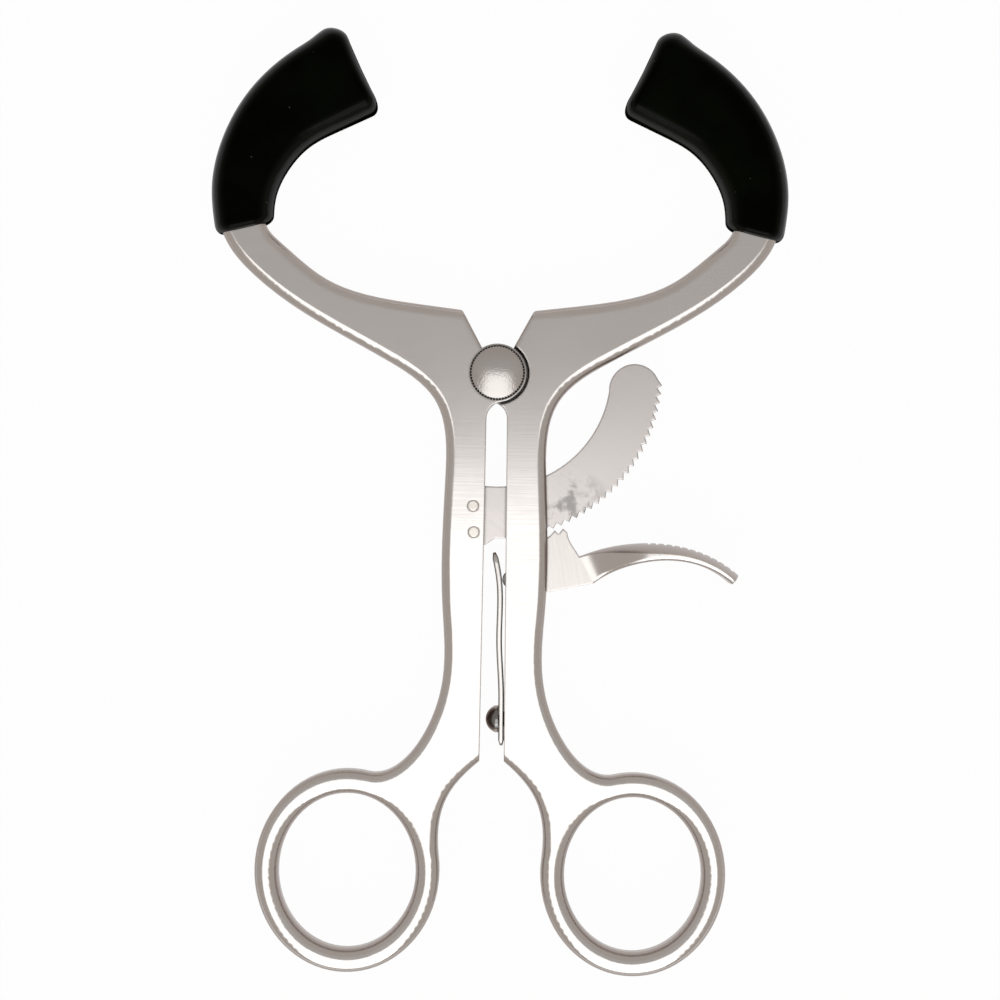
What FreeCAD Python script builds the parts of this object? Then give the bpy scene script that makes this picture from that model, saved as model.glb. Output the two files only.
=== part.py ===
"""Self-retaining mouth gag: two jaws on a lap joint, held apart by a ratchet bar and a sprung pawl.

The instrument lies flat. X is across it, +Y runs from the finger rings to the jaw tips and +Z faces
the viewer. The origin is on the resting plane under the middle of the outline. All sizes are in mm.
Both arms are made from one forging, turned over for the left side, so every outline is drawn for the
right arm about the pivot axis, with the middle of the arm's thickness at height zero.
"""

import FreeCAD, Part

import math
import os

import Sketcher

Vector = FreeCAD.Vector
Rotation = FreeCAD.Rotation
Placement = FreeCAD.Placement

SIZES = {
    # Whole instrument
    "pivot_forward": 19.1,
    "arm_thickness": 5.0,
    # Lap joint at the pivot
    "eye_radius": 4.3,
    "eye_gap": 0.4,
    "lap_gap": 0.1,
    "channel_round": 2.4,
    "notch_foot_angle": 58.0,
    "notch_top_x": 5.3,
    "notch_top_y": 9.25,
    "notch_round": 0.6,
    # Jaw, measured where it leaves the hub, half way out, at its knee and at the sleeve
    "root_x": 14.5,
    "root_y": 6.0,
    "root_angle": 118.0,
    "root_width": 9.3,
    "reach_x": 27.2,
    "reach_y": 11.1,
    "reach_angle": 123.0,
    "reach_width": 5.95,
    "knee_x": 34.15,
    "knee_y": 16.35,
    "knee_angle": 133.0,
    "knee_width": 6.2,
    "cuff_x": 37.65,
    "cuff_y": 20.7,
    "cuff_angle": 164.0,
    "cuff_width": 6.4,
    # Hooked end of the jaw, an arc that widens towards the tip
    "hook_x": 18.0,
    "hook_y": 23.0,
    "hook_inner": 15.6,
    "hook_inner_end": 13.9,
    "hook_outer": 24.55,
    "hook_outer_end": 27.5,
    "hook_angle": 64.0,
    "tip_x": 20.5,
    "tip_y": 44.9,
    "tip_angle": 64.5,
    "tip_width": 13.8,
    "tip_depth": 10.0,
    "sleeve_cuff_angle": -14.0,
    "sleeve_cuff_width": 8.7,
    "sleeve_cuff_depth": 7.4,
    "sleeve_wall": 1.2,
    "sleeve_corner": 1.5,
    "core_inset": 0.5,
    "core_start": 0.15,
    "sleeve_tip_round": 2.2,
    "sleeve_lip_round": 1.7,
    "flare_length": 29.0,
    # Handle and finger ring
    "channel_half": 1.48,
    "channel_half_end": 1.82,
    "handle_end": 57.3,
    "shoulder_x": 9.15,
    "shoulder_y": -4.1,
    "waist_width": 5.9,
    "waist_drop": 16.0,
    "grip_width": 5.95,
    "grip_drop": 34.0,
    "heel_width": 6.75,
    "heel_drop": 50.0,
    "ring_x": 21.1,
    "ring_drop": 73.75,
    "ring_half_width": 13.65,
    "ring_half_length": 14.95,
    "ring_wall": 3.5,
    "ring_join_angle": 102.0,
    "ring_crotch_angle": 172.0,
    "crotch_x": 6.45,
    "crotch_drop": 62.6,
    "crotch_foot_angle": 140.0,
    # Rounded edges
    "edge_round": 1.3,
    "bow_round": 1.5,
    "ring_round": 1.6,
    # Pivot screw
    "screw_radius": 2.0,
    "screw_head_radius": 4.1,
    "screw_rim_height": 0.9,
    "screw_dome_height": 0.75,
    "screw_run_gap": 0.05,
    "screw_fit_gap": 0.01,
    "knurl_count": 56,
    "knurl_radius": 0.2,
    "knurl_depth": 0.34,
    # Ratchet bar
    "rack_thickness": 2.0,
    "rack_slot_gap": 0.1,
    "rack_inner": 16.75,
    "rack_tip": 24.4,
    "rack_tooth_depth": 0.65,
    "rack_tooth_pitch": 3.0,
    "rack_tooth_lean": 0.35,
    "rack_first_angle": 14.6,
    "rack_tooth_count": 25,
    "rack_end_angle": 82.0,
    "rack_end_rise": 1.65,
    "tang_length": 5.3,
    "tang_drop": 25.4,
    "rivet_radius": 0.8,
    "rivet_gap": 0.01,
    "upper_rivet_x": 3.28,
    "upper_rivet_drop": 19.58,
    "lower_rivet_x": 3.12,
    "lower_rivet_drop": 23.45,
    # Pawl lever
    "pawl_pin_x": 4.3,
    "pawl_pin_drop": 28.9,
    "pawl_pin_radius": 0.9,
    "pawl_run_gap": 0.05,
    "pawl_pin_cover": 0.8,
    "pawl_boss": 2.2,
    "pawl_boss_angle": 110.0,
    "pawl_slot_top": 14.2,
    "pawl_slot_bottom": 33.6,
    "pawl_mesh_gap": 0.15,
    "pawl_lift_angle": 8.0,
    "pawl_first_gap": 2,
    "pawl_tooth_count": 2,
    "pawl_knob_x": 2.55,
    "pawl_knob_drop": 30.45,
    "pawl_knob_radius": 1.35,
    "plate_heel_x": 7.5,
    "plate_heel_drop": 32.3,
    "nose_x": 10.95,
    "nose_drop": 24.4,
    "throat_x": 11.9,
    "throat_drop": 25.95,
    "neck_x": 13.6,
    "neck_drop": 28.85,
    "neck_depth": 4.5,
    "crest_x": 25.2,
    "crest_drop": 26.05,
    "bend_x": 30.8,
    "bend_drop": 27.15,
    "toe_x": 35.5,
    "toe_drop": 29.95,
    "pad_width": 9.6,
    "pad_thickness": 1.7,
    "pad_edge_round": 0.65,
    "pad_crown_share": 0.5,
    "neck_crown": 0.1,
    "pad_start": 0.42,
    "pad_end": 0.95,
    "toe_start": 0.8,
    "toe_width": 8.0,
    "pad_groove_count": 12,
    "pad_groove_depth": 0.22,
    "pad_groove_radius": 0.3,
    # Pawl spring and its screw
    "spring_thickness": 0.85,
    "spring_width": 3.6,
    "spring_foot_drop": 54.9,
    "spring_bend_drop": 47.0,
    "spring_belly_x": 0.85,
    "spring_belly_drop": 39.5,
    "spring_touch_gap": 0.06,
    "spring_end_x": -0.05,
    "spring_end_drop": 26.5,
    "spring_end_angle": 108.0,
    "spring_screw_drop": 51.1,
    "spring_screw_radius": 1.1,
    "spring_screw_head": 2.0,
    "spring_screw_rim": 0.5,
    "spring_screw_dome": 1.4,
    "spring_screw_length": 4.0,
    "screw_hole_gap": 0.3,
}

doc = FreeCAD.newDocument("MouthGag")
sheet = doc.addObject("Spreadsheet::Sheet", "Sizes")
for row, (alias, value) in enumerate(SIZES.items(), start=1):
    sheet.set("A%d" % row, alias)
    sheet.set("B%d" % row, str(value))
    sheet.setAlias("B%d" % row, alias)
doc.recompute()


# Points and curves in the plane of the instrument

def polar(radius, angle, cx=0.0, cy=0.0):
    """Point at an angle in degrees, counted from +X."""
    turn = math.radians(angle)
    return Vector(cx + radius * math.cos(turn), cy + radius * math.sin(turn), 0)


def below(radius, angle):
    """Point about the pivot at an angle counted from straight down towards +X."""
    return polar(radius, angle - 90.0)


def across(name):
    """Inner and outer edge points of the jaw at one of its named stations."""
    centre = Vector(getattr(sheet, name + "_x"), getattr(sheet, name + "_y"), 0)
    half = polar(getattr(sheet, name + "_width") / 2, getattr(sheet, name + "_angle"))
    return centre + half, centre - half


def arc(first, middle, last):
    return Part.Arc(first, middle, last)


def spline(points, start=None, end=None):
    """Smooth curve through the points, with unit directions for its ends where they are given."""
    curve = Part.BSplineCurve()
    if start is None:
        curve.interpolate(points)
    else:
        curve.interpolate(Points=points, InitialTangent=start, FinalTangent=end, Scale=False)
    return curve


def oval(centre, half_width, half_length):
    """Ellipse, and the angle in degrees from +X at which its own parameter starts."""
    if half_length > half_width:
        top = centre + Vector(0, half_length, 0)
        return Part.Ellipse(top, centre - Vector(half_width, 0, 0), centre), 90.0
    right = centre + Vector(half_width, 0, 0)
    return Part.Ellipse(right, centre + Vector(0, half_length, 0), centre), 0.0


def closed_lines(points):
    return [Part.LineSegment(a, b) for a, b in zip(points, points[1:] + points[:1])]


# Bodies, sketches and features

def new_body(name):
    body = doc.addObject("PartDesign::Body", name)
    body.Label = name
    return body


def plane_of(body, role):
    return next(item for item in body.Origin.OriginFeatures if item.Role == role)


def flat_sketch(body, name, geometry, level=None):
    """Sketch parallel to the plane of the instrument, at a height given as an expression."""
    sketch = body.newObject("Sketcher::SketchObject", name)
    sketch.AttachmentSupport = (plane_of(body, "XY_Plane"), [""])
    sketch.MapMode = "FlatFace"
    if level is not None:
        sketch.setExpression("AttachmentOffset.Base.z", level)
    sketch.addGeometry(geometry, False)
    return sketch


def upright_sketch(body, name, foot, angle, geometry):
    """Sketch on a plane that holds the vertical through foot and runs along the angle.

    Its own X axis points along the angle and its own Y axis points up.
    """
    sketch = body.newObject("Sketcher::SketchObject", name)
    sketch.AttachmentSupport = (plane_of(body, "XZ_Plane"), [""])
    sketch.MapMode = "FlatFace"
    sketch.AttachmentOffset = Placement(Vector(foot.x, 0, -foot.y), Rotation(Vector(0, 1, 0), angle))
    sketch.addGeometry(geometry, False)
    return sketch


def bound_circle(sketch, x, y, radius_expression):
    """Add a circle whose radius is bound to the sheet."""
    index = sketch.addGeometry(Part.Circle(Vector(x, y, 0), Vector(0, 0, 1), 1.0), False)
    place = [("DistanceX", x), ("DistanceY", y)]
    for kind, value in place:
        sketch.addConstraint(Sketcher.Constraint(kind, -1, 1, index, 3, value))
    number = sketch.addConstraint(Sketcher.Constraint("Radius", index, 1.0))
    sketch.setExpression("Constraints[%d]" % number, radius_expression)
    return sketch


def sweep_up(body, kind, sketch, length, side="Symmetric", reverse=False):
    """Pad or pocket a sketch by a length given as an expression."""
    feature = body.newObject("PartDesign::" + kind, sketch.Name + kind)
    feature.Profile = sketch
    feature.SideType = side
    feature.Reversed = reverse
    feature.setExpression("Length", length)
    doc.recompute()
    return feature


def cut(body, sketch, length, side="Symmetric", reverse=False):
    """Pocket that must take material away."""
    before = body.Shape.Volume
    feature = sweep_up(body, "Pocket", sketch, length, side, reverse)
    if body.Shape.Volume > before - 1e-6:
        raise RuntimeError(sketch.Name + " cuts nothing")
    return feature


def round_edges(body, name, wanted, radius):
    """Round the edges of the body's last feature that the test picks out."""
    base = body.Tip
    edges = ["Edge%d" % (n + 1) for n, edge in enumerate(base.Shape.Edges) if wanted(edge)]
    feature = body.newObject("PartDesign::Fillet", name)
    feature.Base = (base, edges)
    feature.setExpression("Radius", radius)
    doc.recompute()
    return feature


def rounded_box(width, depth, corner):
    """Rectangle about the sketch's origin with rounded corners."""
    x = width / 2
    y = depth / 2
    lines = []
    corners = []
    for sx, sy in ((1, 1), (-1, 1), (-1, -1), (1, -1)):
        centre = Vector(sx * (x - corner), sy * (y - corner), 0)
        flat_side = centre + Vector(0, sy * corner, 0)
        upright_side = centre + Vector(sx * corner, 0, 0)
        bulge = centre + Vector(sx, sy, 0) * (corner / math.sqrt(2))
        ends = [upright_side, flat_side] if sx == sy else [flat_side, upright_side]
        corners.append((ends[0], bulge, ends[1]))
    for n in range(4):
        lines.append(Part.LineSegment(corners[n][2], corners[(n + 1) % 4][0]))
    return [arc(*points) for points in corners] + lines


def at_flat_face(edge, half):
    """True for a free-form or elliptical edge that lies in the front or the back face."""
    kinds = ("Part::GeomBSplineCurve", "Part::GeomEllipse")
    box = edge.BoundBox
    flat = box.ZLength < 1e-6 and abs(abs(box.ZMax) - half) < 1e-6
    return flat and edge.Curve.TypeId in kinds


# Hooked end of the jaw: sections on planes that hold the vertical through the hook's centre

def hook_section(share, inset):
    """Foot, plane angle, width, depth and corner of one section, from the cuff's side to the bend's end."""
    angle = sheet.hook_angle * share
    inner = sheet.hook_inner + (sheet.hook_inner_end - sheet.hook_inner) * share
    outer = sheet.hook_outer + (sheet.hook_outer_end - sheet.hook_outer) * share
    foot = polar((inner + outer) / 2, angle, sheet.hook_x, sheet.hook_y)
    depth = sheet.sleeve_cuff_depth + (sheet.tip_depth - sheet.sleeve_cuff_depth) * (0.8 * share) ** 2
    return foot, angle, outer - inner - 2 * inset, depth - 2 * inset


def tip_section(inset):
    """The flat end face, tilted so that the two tips meet flush; an inset also draws it back."""
    back = polar(inset, sheet.tip_angle - 90.0)
    foot = Vector(sheet.tip_x, sheet.tip_y, 0) + back
    return foot, sheet.tip_angle, sheet.tip_width - 2 * inset, sheet.tip_depth - 2 * inset


def cuff_section():
    """The sleeve's open end, where the bare jaw goes in."""
    foot = Vector(sheet.cuff_x, sheet.cuff_y, 0)
    return foot, sheet.sleeve_cuff_angle, sheet.sleeve_cuff_width, sheet.sleeve_cuff_depth


def loft_hook(body, sections, corner):
    sketches = []
    for foot, angle, width, depth in sections:
        name = "%sSection%d" % (body.Name, len(sketches) + 1)
        sketches.append(upright_sketch(body, name, foot, angle, rounded_box(width, depth, corner)))
    loft = body.newObject("PartDesign::AdditiveLoft", body.Name + "Hook")
    loft.Profile = sketches[0]
    loft.Sections = sketches[1:]
    loft.Ruled = False
    doc.recompute()
    return loft


# The arm: one forging, used face up on the right and turned over on the left

def inner_edge(drop):
    """Distance from the middle line to the handle's straight inner edge."""
    share = drop / sheet.handle_end
    return sheet.channel_half + (sheet.channel_half_end - sheet.channel_half) * share


def arm_outline():
    """Closed outline of the arm: inner edge, eye, notch, jaw, outer edge, ring and crotch."""
    foot = Vector(sheet.channel_half_end, -sheet.handle_end, 0)
    fillet_x = sheet.channel_half - sheet.channel_round
    fillet_y = -math.sqrt((sheet.eye_radius + sheet.channel_round) ** 2 - fillet_x ** 2)
    fillet = Vector(fillet_x, fillet_y, 0)
    channel_top = Vector(inner_edge(-fillet_y), fillet_y, 0)
    eye_start = fillet * (sheet.eye_radius / fillet.Length)
    bisector = (channel_top - fillet).normalize() - fillet / fillet.Length
    fillet_middle = fillet + bisector.normalize() * sheet.channel_round
    eye_end = polar(sheet.eye_radius, sheet.notch_foot_angle)

    notch_top = Vector(sheet.notch_top_x, sheet.notch_top_y, 0)
    inner = {name: across(name)[0] for name in ("root", "reach", "knee", "cuff")}
    outer = {name: across(name)[1] for name in ("root", "reach", "knee", "cuff")}
    outward = (inner["root"] - notch_top).normalize()

    foot_point, angle, width, _ = hook_section(sheet.core_start, sheet.sleeve_wall)
    end_inner = foot_point - polar(width / 2, angle)
    end_outer = foot_point + polar(width / 2, angle)

    waist = Vector(inner_edge(sheet.waist_drop) + sheet.waist_width, -sheet.waist_drop, 0)
    grip = Vector(inner_edge(sheet.grip_drop) + sheet.grip_width, -sheet.grip_drop, 0)
    heel = Vector(inner_edge(sheet.heel_drop) + sheet.heel_width, -sheet.heel_drop, 0)

    centre = Vector(sheet.ring_x, -sheet.ring_drop, 0)
    ring, start_angle = oval(centre, sheet.ring_half_width, sheet.ring_half_length)
    join = math.radians(sheet.ring_join_angle - start_angle)
    crotch = math.radians(sheet.ring_crotch_angle - start_angle)
    ring_join = ring.value(join)
    ring_crotch = ring.value(crotch)
    onto_ring = ring.tangent(join)[0] * -1.0
    off_ring = ring.tangent(crotch)[0] * -1.0

    outer_curve = spline([end_outer, outer["cuff"], outer["knee"], outer["reach"], outer["root"],
                          Vector(sheet.shoulder_x, sheet.shoulder_y, 0), waist, grip, heel, ring_join],
                         polar(1.0, angle - 90.0), onto_ring)
    crotch_curve = spline([ring_crotch, Vector(sheet.crotch_x, -sheet.crotch_drop, 0), foot],
                          off_ring, polar(1.0, sheet.crotch_foot_angle))
    return [
        Part.LineSegment(foot, channel_top),
        arc(channel_top, fillet_middle, eye_start),
        arc(eye_start, Vector(-sheet.eye_radius, 0, 0), eye_end),
        Part.LineSegment(eye_end, notch_top),
        spline([notch_top, inner["root"], inner["reach"], inner["knee"], inner["cuff"], end_inner],
               outward, polar(1.0, angle + 90.0)),
        Part.LineSegment(end_inner, end_outer),
        outer_curve,
        Part.ArcOfEllipse(ring, crotch, join + 2 * math.pi),
        crotch_curve,
    ]


def make_arm(name):
    """Forged arm with its ring, lap recess, pivot bore and flared jaw end."""
    half = sheet.arm_thickness / 2
    body = new_body(name)
    sweep_up(body, "Pad", flat_sketch(body, name + "Outline", arm_outline()), "Sizes.arm_thickness")

    def bow(edge):
        middle = edge.CenterOfMass
        return at_flat_face(edge, half) and middle.y > sheet.notch_top_y and middle.x < sheet.knee_x

    def rim(edge):
        return at_flat_face(edge, half)

    notch_top = Vector(sheet.notch_top_x, sheet.notch_top_y, 0)

    def notch(edge):
        upright = abs(edge.tangentAt(edge.FirstParameter).z) > 0.99
        return upright and (edge.CenterOfMass - notch_top).Length < 1e-4

    round_edges(body, name + "BowRound", bow, "Sizes.bow_round")
    round_edges(body, name + "EdgeRound", rim, "Sizes.edge_round")
    round_edges(body, name + "NotchRound", notch, "Sizes.notch_round")

    centre = Vector(sheet.ring_x, -sheet.ring_drop, 0)
    hole, _ = oval(centre, sheet.ring_half_width - sheet.ring_wall, sheet.ring_half_length - sheet.ring_wall)
    cut(body, flat_sketch(body, name + "Finger", [hole]), "Sizes.arm_thickness + 1")

    def ring_rim(edge):
        near = (edge.CenterOfMass - centre).Length < sheet.ring_half_width
        whole = edge.Length > math.pi * sheet.ring_half_width
        return at_flat_face(edge, half) and near and whole

    round_edges(body, name + "FingerRound", ring_rim, "Sizes.ring_round")

    lap = flat_sketch(body, name + "Lap", [], "-Sizes.lap_gap / 2")
    bound_circle(lap, 0, 0, "Sizes.eye_radius + Sizes.eye_gap")
    cut(body, lap, "Sizes.arm_thickness", "One side", True)

    start = [hook_section(sheet.core_start / 2, sheet.sleeve_wall + sheet.core_inset)]
    bend = [hook_section(share, sheet.sleeve_wall) for share in (0.3, 0.65, 1.0)]
    loft_hook(body, start + bend + [tip_section(sheet.sleeve_wall)], sheet.edge_round)
    return body


def make_left_arm():
    """Left arm: running bore for the screw, slot and rivet holes for the ratchet bar's tang."""
    body = make_arm("left_arm")
    bore = bound_circle(flat_sketch(body, "left_bore", []), 0, 0, "Sizes.screw_radius + Sizes.screw_run_gap")
    cut(body, bore, "Sizes.arm_thickness + 1")

    gap = sheet.rack_slot_gap
    length = sheet.tang_length + gap
    reach = sheet.rack_inner - gap
    drop = sheet.tang_drop + gap
    open_side = sheet.channel_half / 2
    top_inside = Vector(length, -math.sqrt(reach ** 2 - length ** 2), 0)
    top_outside = Vector(open_side, -math.sqrt(reach ** 2 - open_side ** 2), 0)
    middle_x = (length + open_side) / 2
    slot = [
        arc(top_inside, Vector(middle_x, -math.sqrt(reach ** 2 - middle_x ** 2), 0), top_outside),
        Part.LineSegment(top_outside, Vector(open_side, -drop, 0)),
        Part.LineSegment(Vector(open_side, -drop, 0), Vector(length, -drop, 0)),
        Part.LineSegment(Vector(length, -drop, 0), top_inside),
    ]
    cut(body, flat_sketch(body, "tang_slot", slot), "Sizes.rack_thickness + 2 * Sizes.rack_slot_gap")

    holes = flat_sketch(body, "rivet_holes", [])
    for name in ("upper_rivet", "lower_rivet"):
        x = getattr(sheet, name + "_x")
        y = -getattr(sheet, name + "_drop")
        bound_circle(holes, x, y, "Sizes.rivet_radius + Sizes.rivet_gap")
    cut(body, holes, "Sizes.arm_thickness + 1")
    return body


def make_right_arm():
    """Right arm: fixed bore for the screw, slot for bar and pawl, blind pin hole and spring screw hole."""
    body = make_arm("right_arm")
    bore = bound_circle(flat_sketch(body, "right_bore", []), 0, 0, "Sizes.screw_radius + Sizes.screw_fit_gap")
    cut(body, bore, "Sizes.arm_thickness + 1")

    outside = sheet.notch_top_x + sheet.waist_width
    slot = closed_lines([
        Vector(0, -sheet.pawl_slot_top, 0),
        Vector(outside, -sheet.pawl_slot_top, 0),
        Vector(outside, -sheet.pawl_slot_bottom, 0),
        Vector(0, -sheet.pawl_slot_bottom, 0),
    ])
    cut(body, flat_sketch(body, "pawl_slot", slot), "Sizes.rack_thickness + 2 * Sizes.rack_slot_gap")

    pin_hole = flat_sketch(body, "pin_hole", [], "-Sizes.arm_thickness / 2")
    bound_circle(pin_hole, sheet.pawl_pin_x, -sheet.pawl_pin_drop,
                 "Sizes.pawl_pin_radius + Sizes.screw_fit_gap")
    cut(body, pin_hole, "Sizes.arm_thickness - Sizes.pawl_pin_cover", "One side", True)

    screw_hole = upright_sketch(body, "spring_screw_hole", inner_face_point(sheet.spring_screw_drop),
                                inner_face_angle(), [])
    bound_circle(screw_hole, 0, 0, "Sizes.spring_screw_radius + Sizes.screw_fit_gap")
    cut(body, screw_hole, "Sizes.spring_screw_length + Sizes.screw_hole_gap", "One side", True)
    return body


# Pivot screw with a knurled, slightly domed head

def dome(edge, height, along):
    """Round cap from an edge point to the turning axis, which it meets after a rise along a direction."""
    across_axis = edge - along * edge.dot(along)
    radius = (across_axis.Length ** 2 + height ** 2) / (2 * height)
    top = along * (edge.dot(along) + height)
    half_way = across_axis * 0.5
    rise = math.sqrt(radius ** 2 - half_way.Length ** 2) - radius
    return arc(edge, top + half_way + along * rise, top)


def make_pivot_screw():
    """Screw with its thread end in the right arm and its head running on the left arm."""
    body = new_body("pivot_screw")
    bottom = -sheet.arm_thickness / 2
    seat = sheet.arm_thickness / 2 + sheet.screw_run_gap
    rim = seat + sheet.screw_rim_height
    top = rim + sheet.screw_dome_height
    radius = sheet.screw_head_radius
    corners = [Vector(0, bottom, 0), Vector(sheet.screw_radius, bottom, 0), Vector(sheet.screw_radius, seat, 0),
               Vector(radius, seat, 0), Vector(radius, rim, 0)]
    profile = [Part.LineSegment(a, b) for a, b in zip(corners, corners[1:])]
    profile.append(dome(corners[-1], sheet.screw_dome_height, Vector(0, 1, 0)))
    profile.append(Part.LineSegment(Vector(0, top, 0), Vector(0, bottom, 0)))
    sketch = upright_sketch(body, "screw_profile", Vector(0, 0, 0), 0, profile)
    turned = body.newObject("PartDesign::Revolution", "screw_turned")
    turned.Profile = sketch
    turned.ReferenceAxis = (sketch, ["V_Axis"])
    turned.Angle = 360.0
    doc.recompute()

    groove = flat_sketch(body, "knurl_groove", [], "Sizes.arm_thickness / 2 + Sizes.screw_run_gap")
    bound_circle(groove, radius + sheet.knurl_radius - sheet.knurl_depth, 0, "Sizes.knurl_radius")
    first = cut(body, groove, "Sizes.screw_rim_height + Sizes.screw_dome_height", "One side", True)
    knurl = body.newObject("PartDesign::PolarPattern", "knurl")
    knurl.Originals = [first]
    knurl.Axis = (groove, ["N_Axis"])
    knurl.Angle = 360.0
    knurl.setExpression("Occurrences", "Sizes.knurl_count")
    body.Tip = knurl
    doc.recompute()
    return body


# Ratchet bar: an arc about the pivot with saw teeth outside and a riveted tang

def tooth_tip(number):
    return sheet.rack_first_angle + sheet.rack_tooth_pitch * number


def tooth_root(number):
    """Angle of the gap on the tang's side of a tooth."""
    return tooth_tip(number) - sheet.rack_tooth_lean * sheet.rack_tooth_pitch


def make_rack():
    body = new_body("ratchet_bar")
    root_radius = sheet.rack_tip - sheet.rack_tooth_depth
    count = int(sheet.rack_tooth_count)
    tang_top = Vector(-sheet.tang_length, -math.sqrt(sheet.rack_inner ** 2 - sheet.tang_length ** 2), 0)
    tang_bottom = Vector(-sheet.tang_length, -sheet.tang_drop, 0)
    tang_heel = Vector(-sheet.channel_half, -sheet.tang_drop, 0)
    inner_end = below(sheet.rack_inner, sheet.rack_end_angle)
    outer_end = below(root_radius, tooth_root(count))
    end_top = Vector((sheet.rack_inner + root_radius) / 2, sheet.rack_end_rise, 0)

    teeth = [outer_end]
    for number in reversed(range(count)):
        teeth.append(below(sheet.rack_tip, tooth_tip(number)))
        teeth.append(below(root_radius, tooth_root(number)))
    plain_start = below(sheet.rack_tip, tooth_tip(-1))
    teeth.append(plain_start)
    plain_end = below(sheet.rack_tip, 0)

    outline = [
        arc(tang_top, below(sheet.rack_inner, sheet.rack_end_angle / 2), inner_end),
        arc(inner_end, end_top, outer_end),
        arc(plain_start, below(sheet.rack_tip, tooth_tip(-1) / 2), plain_end),
        Part.LineSegment(plain_end, tang_heel),
        Part.LineSegment(tang_heel, tang_bottom),
        Part.LineSegment(tang_bottom, tang_top),
    ]
    outline += [Part.LineSegment(a, b) for a, b in zip(teeth, teeth[1:])]
    sketch = flat_sketch(body, "rack_outline", outline)
    for name in ("upper_rivet", "lower_rivet"):
        x = -getattr(sheet, name + "_x")
        y = -getattr(sheet, name + "_drop")
        bound_circle(sketch, x, y, "Sizes.rivet_radius + Sizes.rivet_gap")
    sweep_up(body, "Pad", sketch, "Sizes.rack_thickness")
    return body


# Pawl lever, drawn about its pin: toothed nose, plate in the slot, sprung knob and thumb pad

def pawl_point(x, drop):
    return Vector(x - sheet.pawl_pin_x, sheet.pawl_pin_drop - drop, 0)


def pawl_teeth():
    """Teeth that fill the bar's gaps when the pawl is let in, swung clear of the bar at rest."""
    lift = Rotation(Vector(0, 0, 1), -sheet.pawl_lift_angle)
    tip = sheet.rack_tip + sheet.pawl_mesh_gap
    root = tip - sheet.rack_tooth_depth
    first = int(sheet.pawl_first_gap)
    meshed = [below(tip, tooth_tip(first - 1))]
    for number in range(first, first + int(sheet.pawl_tooth_count)):
        meshed.append(below(root, tooth_root(number)))
        meshed.append(below(tip, tooth_tip(number)))
    return [lift.multVec(pawl_point(point.x, -point.y)) for point in meshed]


def lever_path():
    """Middle line of the thumb lever, from the plate to the toe."""
    return spline([pawl_point(sheet.neck_x, sheet.neck_drop), pawl_point(sheet.crest_x, sheet.crest_drop),
                   pawl_point(sheet.bend_x, sheet.bend_drop), pawl_point(sheet.toe_x, sheet.toe_drop)])


def lever_station(path, share):
    """Point on the lever's middle line, its upward direction there, and the lever's thickness."""
    at = path.FirstParameter + (path.LastParameter - path.FirstParameter) * share
    ahead = path.tangent(at)[0]
    up = Vector(-ahead.y, ahead.x, 0)
    thickness = sheet.pad_thickness + (sheet.neck_depth - sheet.pad_thickness) * (1 - share) ** 2
    return path.value(at), up, thickness


def lever_flare(share):
    """Rises smoothly from 0 at the plate to 1 where the thumb pad has its full width."""
    flare = min(share / sheet.pad_start, 1.0)
    return flare * flare * (3 - 2 * flare)


def lever_width(share):
    """The lever flares from the plate's thickness to the thumb pad, then narrows at the toe."""
    full = sheet.rack_thickness + (sheet.pad_width - sheet.rack_thickness) * lever_flare(share)
    narrowing = max(share - sheet.toe_start, 0.0) / (1.0 - sheet.toe_start)
    return full - (sheet.pad_width - sheet.toe_width) * narrowing ** 2


def lever_profile(thickness, width, crown, corner):
    """Section of the lever: crowned on its thumb side, flat below with rounded corners.

    The sketch's X axis points to the thumb side and its Y axis runs across the lever.
    """
    low = -thickness / 2
    high = thickness / 2 - crown
    side = width / 2
    diagonal = corner * (1 - 1 / math.sqrt(2))
    return [
        arc(Vector(high, -side, 0), Vector(thickness / 2, 0, 0), Vector(high, side, 0)),
        Part.LineSegment(Vector(high, side, 0), Vector(low + corner, side, 0)),
        arc(Vector(low + corner, side, 0), Vector(low + diagonal, side - diagonal, 0),
            Vector(low, side - corner, 0)),
        Part.LineSegment(Vector(low, side - corner, 0), Vector(low, corner - side, 0)),
        arc(Vector(low, corner - side, 0), Vector(low + diagonal, diagonal - side, 0),
            Vector(low + corner, -side, 0)),
        Part.LineSegment(Vector(low + corner, -side, 0), Vector(high, -side, 0)),
    ]


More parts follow.
